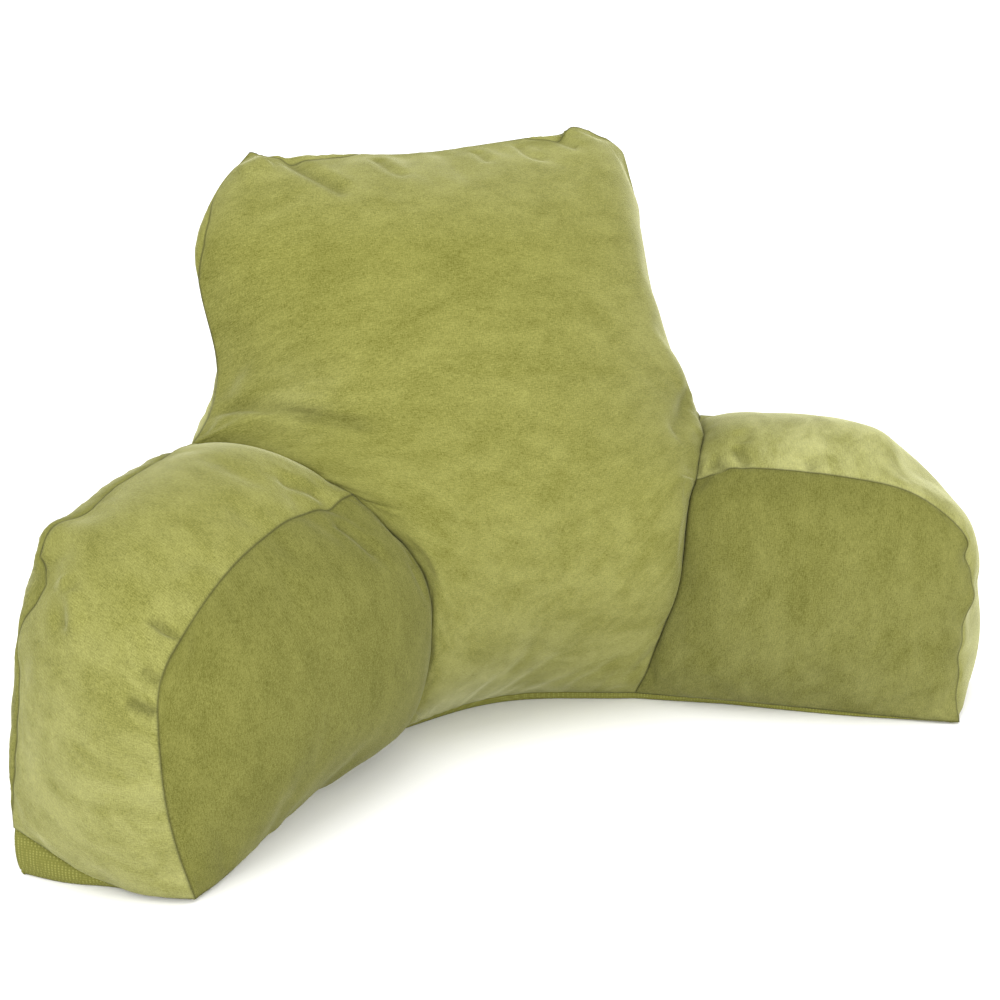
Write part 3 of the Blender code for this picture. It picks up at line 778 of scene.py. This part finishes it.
def relief(piece, name, names):
    """Raises the lips of the seams, and presses in the folds, the puckers and the lumps. Stores the dark seam
    lines, painted shade in the folds, and painted light and sheen.
    """
    mesh = piece.data
    points = points_of(mesh)
    found = panels_at(mesh)
    on_seam = [k for k, at in enumerate(found) if len(at) > 1]
    tree = kdtree.KDTree(len(on_seam))
    for k in on_seam:
        tree.insert(points[k], k)
    tree.balance()
    shown = np.array([any(names[n] not in HIDDEN_PANELS for n in at) for at in found])
    near = np.zeros(len(points))
    pucker = np.zeros(len(points))
    lump = np.zeros(len(points))
    dark = np.ones(len(points))
    for k in np.flatnonzero(shown):
        place, seam_vert, near[k] = tree.find(points[k])
        sewn_here = {names[n] for n in found[seam_vert]}
        height = max((h for pair, h in PUCKERS.items() if set(pair) <= sewn_here), default=0.0)
        pucker[k] = height * noise.noise(place / PUCKER_LENGTH)
        dark[k] = WALL_SEAM if "wall" in sewn_here else 1.0
        lump[k] = noise.noise(Vector(points[k]) / LUMP_SIZE)
    lip = SEAM_LIP * (1 - np.exp(-(near / SEAM_LIP_WIDTH) ** 2))
    rise = lip + LUMP_HEIGHT * lump * np.minimum(near / LUMP_RISE, 1.0)
    rise += PUCKER_GAIN * pucker * (near / PUCKER_REACH) * np.exp(-(near / PUCKER_REACH) ** 2)
    # crease: painted shade along the folds, full where a fold is DEEP_FOLD deep
    crease = np.zeros(len(points))
    for line, *sizes in FOLDS[name]:
        depth, half_width = metres(sizes)
        line = curve_through(metres(line), np.linspace(0.0, 1.0, FOLD_POINTS)) + CENTRED
        line = [piece.closest_point_on_mesh(Vector(point))[1] for point in line]
        away, share = along_line(points, line)
        across = (away / half_width) ** 2
        taper = np.minimum(1.0, FOLD_TAPER * share * (1 - share) + FOLD_ENDS)
        rise -= depth * taper * (1 - FOLD_RIM * across) * np.exp(-across)
        if depth > 0:
            crease = np.maximum(crease, min(depth / DEEP_FOLD, 1.0) * taper * np.exp(-across))
    rise[~shown] = 0.0
    rise[on_seam] = np.minimum(rise[on_seam], 0.0)
    raised = points + values_of(mesh.vertex_normals, "vector") * rise[:, None]
    raised[:, 2] = np.maximum(raised[:, 2], BASE_FLOOR + BASE_CLOTH / 2 + GAP)
    set_points(mesh, raised)
    seam = dark * np.exp(-(near / SEAM_LINE) ** 2)
    flat = np.array([max(PANELS[names[n]][2] for n in at) for at in found])
    pressed = np.max([np.exp(-(near / PRESSED_NAP) ** 2), crease, flat], axis=0)
    for attribute, values in (("seam", seam), ("crease", crease**2), ("pressed", pressed)):
        mesh.attributes.new(attribute, "FLOAT", "POINT").data.foreach_set("value", values * shown)
    numbers = panel_numbers(mesh)
    middles = values_of(mesh.polygons, "center") - CENTRED
    # pale: painted light and sheen for each face, by panel and height and at the painted light places
    pale = np.zeros(len(numbers))
    for number, panel in enumerate(names):
        here = numbers == number
        pale[here] = np.interp(middles[here, 2], PAINTED_LIGHT_HEIGHTS, PAINTED_LIGHT_AND_NAP.get((name, panel), USUAL_PAINTED_LIGHT_AND_NAP))
        for at_chamber, at_panel, place, reach, more in PAINTED_LIGHT_PLACES:
            if (at_chamber, at_panel) == (name, panel):
                away = np.linalg.norm(middles[here] - place, axis=1)
                pale[here] += more * np.exp(-(away / reach) ** 2)
    pale = np.maximum(pale, 0.0)
    tones = np.array([PANELS[names[n]][0] for n in numbers])
    for attribute, values in (("tone", tones), ("pale", pale)):
        mesh.attributes.new(attribute, "FLOAT", "FACE").data.foreach_set("value", values)


def chamber(name, panels, material):
    """One stuffed chamber, in place of its solid."""
    names = [panel[0] for panel in panels]
    piece = sewn(name + "_stuffed", panels, material)
    stuff(piece, names)
    finely(piece)
    slid(piece, name)
    relief(piece, name, names)
    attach(piece, "root")
    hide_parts(name)
    return piece


def base_loop(left, right):
    """The bottom seam right round the pillow, as a closed loop of points."""
    cuts = (ALONG_ARM, ALONG_ARM, ACROSS_ARM)
    left_floors, right_floors = ([smooth(line, cut) for line, cut in zip(side.arm_floors(GAP), cuts)]
                                 for side in (left, right))
    front, back = (smooth(line, ACROSS_BACKREST) for line in backrest_floors(left, right))
    inner, outer, end = right_floors
    parts = [front, inner, end, outer[::-1], back[::-1]]
    inner, outer, end = left_floors
    parts += [outer, end[::-1], inner[::-1]]
    loop = [parts[0][0]]
    for point in np.vstack(parts):
        if np.linalg.norm(point - loop[-1]) > LEAST_STEP:
            loop.append(point)
    while np.linalg.norm(loop[-1] - loop[0]) < LEAST_STEP:
        loop.pop()
    return pulled(np.array(loop))


def base(left, right, sewn_to, material):
    """The base panel: flat on the floor, and turned up to the bottom seam all round."""
    seam = base_loop(left, right)
    ahead = np.roll(seam, -1, axis=0) - np.roll(seam, 1, axis=0)
    out = np.column_stack([ahead[:, 1], -ahead[:, 0], np.zeros(len(seam))])
    out /= np.linalg.norm(out, axis=1, keepdims=True)
    cloth = bmesh.new()
    shown = np.max([upright * np.exp(-np.sum((seam - (*place, 0.0)) ** 2, axis=1) / reach**2)
                    for place, reach, upright in BASE_SHOWN], axis=0)[:, None]
    bulge = BASE_BULGE * (seam[:, 2:] / SEAM_LIFT) ** 0.5 * shown
    rows = []
    for share in np.linspace(0.0, 1.0, BASE_ROWS + 1):
        row = seam.copy()
        stands_out = bulge * sin(np.pi * share**BASE_BULGE_RISE)
        row += out * (stands_out - BASE_INSET * (1 - share) + BASE_SPREAD * shown * share)
        row -= out * (BASE_TURN * (1 - shown) * share)
        row[:, 2] = BASE_FLOOR + (seam[:, 2] - GAP - BASE_FLOOR) * (1 - share) ** BASE_FALL
        rows.append([cloth.verts.new(point) for point in row])
    for upper, lower in zip(rows, rows[1:]):
        for k in range(len(seam)):
            cloth.faces.new((upper[k - 1], upper[k], lower[k], lower[k - 1]))
    rim = [cloth.edges.get((rows[-1][k - 1], rows[-1][k])) for k in range(len(seam))]
    bmesh.ops.triangle_fill(cloth, edges=rim, use_beauty=True)
    bmesh.ops.recalc_face_normals(cloth, faces=cloth.faces)
    piece = cloth_object("base_cloth_panel", cloth, material)
    thick = piece.modifiers.new("thickness", "SOLIDIFY")
    thick.thickness = BASE_CLOTH
    thick.offset = 0.0
    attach(piece, "root")
    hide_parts("base_panel")
    return piece


class Shader:
    """A material under construction. One call makes a node and links it; i0 stands for its first input."""

    def __init__(self, name):
        self.material = bpy.data.materials.new(name)
        self.material.use_nodes = True
        self.tree = self.material.node_tree
        self.surface = self.tree.nodes["Principled BSDF"]

    def node(self, kind, settings=None, **inputs):
        made = self.tree.nodes.new("ShaderNode" + kind)
        for key, value in (settings or {}).items():
            setattr(made, key, value)
        for key, value in inputs.items():
            numbered = key[0] == "i" and key[1:].isdigit()
            self.feed(made.inputs[int(key[1:]) if numbered else key.replace("_", " ")], value)
        return made

    def feed(self, socket, value):
        if isinstance(value, bpy.types.NodeSocket):
            self.tree.links.new(value, socket)
        else:
            socket.default_value = value

    def sums(self, *terms):
        """The sum of (factor, socket) terms, each socket taken as its distance from a half."""
        total = None
        for factor, socket in terms:
            part = self.maths("MULTIPLY_ADD", socket, factor, -0.5 * factor)
            total = part if total is None else self.maths("ADD", total, part)
        return total

    def maths(self, operation, *values, **settings):
        """The outcome of one step of arithmetic."""
        inputs = {f"i{k}": value for k, value in enumerate(values)}
        return self.node("Math", {"operation": operation, **settings}, **inputs).outputs[0]

    def looks(self, **inputs):
        """Sets the named inputs of the surface."""
        for key, value in inputs.items():
            self.feed(self.surface.inputs[key.replace("_", " ")], value)


def velvet_material():
    """Green velvet: woven threads, a brushed nap, dark lines where it is sewn, painted light and sheen in
    pale places, and painted shade where it is folded.
    """
    shader = Shader("velvet")
    place = shader.node("UVMap", {"uv_map": "threads"}).outputs["UV"]
    noises = {}
    for name, (in_u, in_v, detail, roughness, distortion, _) in VELVET_NOISE.items():
        mapping = shader.node("Mapping", Vector=place, Scale=(in_u, in_v, 1.0))
        made = shader.node("TexNoise", Vector=mapping.outputs[0], Scale=1.0, Detail=detail,
                           Roughness=roughness, Distortion=distortion)
        noises[name] = made.outputs["Fac"]
    shade = shader.sums(*((VELVET_NOISE[name][-1], socket) for name, socket in noises.items()))
    mixed = shader.maths("ADD", shade, 0.5, use_clamp=True)
    colour = shader.node("Mix", {"data_type": "RGBA"}, i0=mixed, i6=DARK_GREEN, i7=LIGHT_GREEN).outputs[2]
    tone, seam, crease, pressed, pale = (shader.node("Attribute", {"attribute_name": name}).outputs["Fac"]
                                         for name in ("tone", "seam", "crease", "pressed", "pale"))
    seam_shade = shader.maths("MULTIPLY_ADD", seam, SEAM_SHADE - 1.0, 1.0)
    # painted shade in the folds
    painted_fold_shade = shader.maths("MULTIPLY_ADD", crease, PAINTED_FOLD_SHADE - 1.0, 1.0)
    value = shader.maths("MULTIPLY", tone, shader.maths("MULTIPLY", seam_shade, painted_fold_shade))
    # painted light and sheen: the pale attribute lifts the colour, patchy with the nap
    patchy = shader.node("MapRange", Value=noises["nap"], From_Min=0.35, From_Max=0.6,
                         To_Min=0.45, To_Max=1.25).outputs[0]
    patches = shader.maths("MULTIPLY", pale, patchy)
    lift = shader.node("VectorMath", {"operation": "SCALE"}, Vector=PAINTED_LIGHT_COLOUR, Scale=patches).outputs[0]
    paler = shader.node("VectorMath", {"operation": "ADD"}, i0=colour, i1=lift).outputs[0]
    toned = shader.node("VectorMath", {"operation": "SCALE"}, Vector=paler, Scale=value).outputs[0]
    height = shader.sums(*((share, noises[name]) for name, share in VELVET_HEIGHT.items()))
    bump = shader.node("Bump", Strength=0.35, Distance=0.0006, Height=height).outputs[0]
    sheen = shader.maths("MULTIPLY_ADD", pressed, -SHEEN_LOST * SHEEN, SHEEN)
    shader.looks(Base_Color=toned, Normal=bump, Roughness=0.9, Specular_IOR_Level=0.2,
                 Sheen_Weight=sheen, Sheen_Roughness=0.32, Sheen_Tint=(1.0, 1.0, 0.65, 1.0))
    return shader.material


def base_cloth_material():
    """A coarser cloth, with small raised dots in rows."""
    shader = Shader("base_cloth")
    place = shader.node("TexCoord").outputs["Object"]
    mapping = shader.node("Mapping", Vector=place, Scale=(BASE_DOTS,) * 3)
    dots = shader.node("TexVoronoi", {"feature": "F1"}, Vector=mapping.outputs[0], Scale=1.0, Randomness=0.15)
    away = dots.outputs["Distance"]
    share = shader.node("MapRange", Value=away, From_Min=0.15, From_Max=0.5).outputs[0]
    colour = shader.node("Mix", {"data_type": "RGBA"}, i0=share, i6=BASE_LIGHT, i7=BASE_DARK).outputs[2]
    bump = shader.node("Bump", {"invert": True}, Strength=0.5, Distance=0.0005, Height=away).outputs[0]
    shader.looks(Base_Color=colour, Normal=bump, Roughness=0.9, Specular_IOR_Level=0.2)
    return shader.material


def floor():
    mesh = bpy.data.meshes.new("floor")
    corners = ((-1, -1), (1, -1), (1, 1), (-1, 1))
    mesh.from_pydata([(x * FLOOR_REACH, y * FLOOR_REACH, 0) for x, y in corners], [], [(0, 1, 2, 3)])
    made = placed("floor", mesh)
    paint = Shader("floor_paint")
    paint.looks(Base_Color=(0.93, 0.93, 0.93, 1.0), Roughness=0.8, Specular_IOR_Level=0.1)
    mesh.materials.append(paint.material)


def area_light(name, place, aim, width, power):
    data = bpy.data.lights.new(name, "AREA")
    data.shape = "DISK"
    data.size = width
    data.energy = power
    light = placed(name, data)
    light.location = place
    light.rotation_euler = (Vector(aim) - Vector(place)).to_track_quat("-Z", "Y").to_euler()


def studio():
    """A plain pale floor, a white surround, three soft lights and the camera."""
    scene = bpy.context.scene
    floor()
    world = bpy.data.worlds.new("surround")
    world.use_nodes = True
    background = world.node_tree.nodes["Background"]
    background.inputs["Color"].default_value = (1.0, 1.0, 1.0, 1.0)
    background.inputs["Strength"].default_value = SURROUND
    scene.world = world
    for name, settings in LIGHTS.items():
        area_light(name, *settings)
    back = Vector((sin(CAMERA_AZIMUTH) * cos(CAMERA_ELEVATION),
                   -cos(CAMERA_AZIMUTH) * cos(CAMERA_ELEVATION), sin(CAMERA_ELEVATION)))
    data = bpy.data.cameras.new("camera")
    data.lens = CAMERA_LENS
    data.sensor_width = 36.0
    camera = placed("camera", data)
    camera.location = CAMERA_AIM + back * CAMERA_DISTANCE
    camera.rotation_euler = back.to_track_quat("Z", "Y").to_euler()
    scene.camera = camera
    scene.view_settings.view_transform = "Standard"


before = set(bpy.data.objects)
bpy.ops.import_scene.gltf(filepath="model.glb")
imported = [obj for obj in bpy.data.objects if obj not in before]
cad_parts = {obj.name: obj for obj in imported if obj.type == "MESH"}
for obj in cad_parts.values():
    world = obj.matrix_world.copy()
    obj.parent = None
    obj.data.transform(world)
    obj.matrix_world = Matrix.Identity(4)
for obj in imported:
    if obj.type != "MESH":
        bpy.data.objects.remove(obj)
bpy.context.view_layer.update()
studio()
velvet = velvet_material()
left, right = Side("left", -1), Side("right", 1)
chambers = [chamber(name, panels, velvet) for name, panels in
            (("backrest", backrest_panels(left, right)), ("arm_left", left.arm_panels()),
             ("arm_right", right.arm_panels()))]
base(left, right, chambers, base_cloth_material())
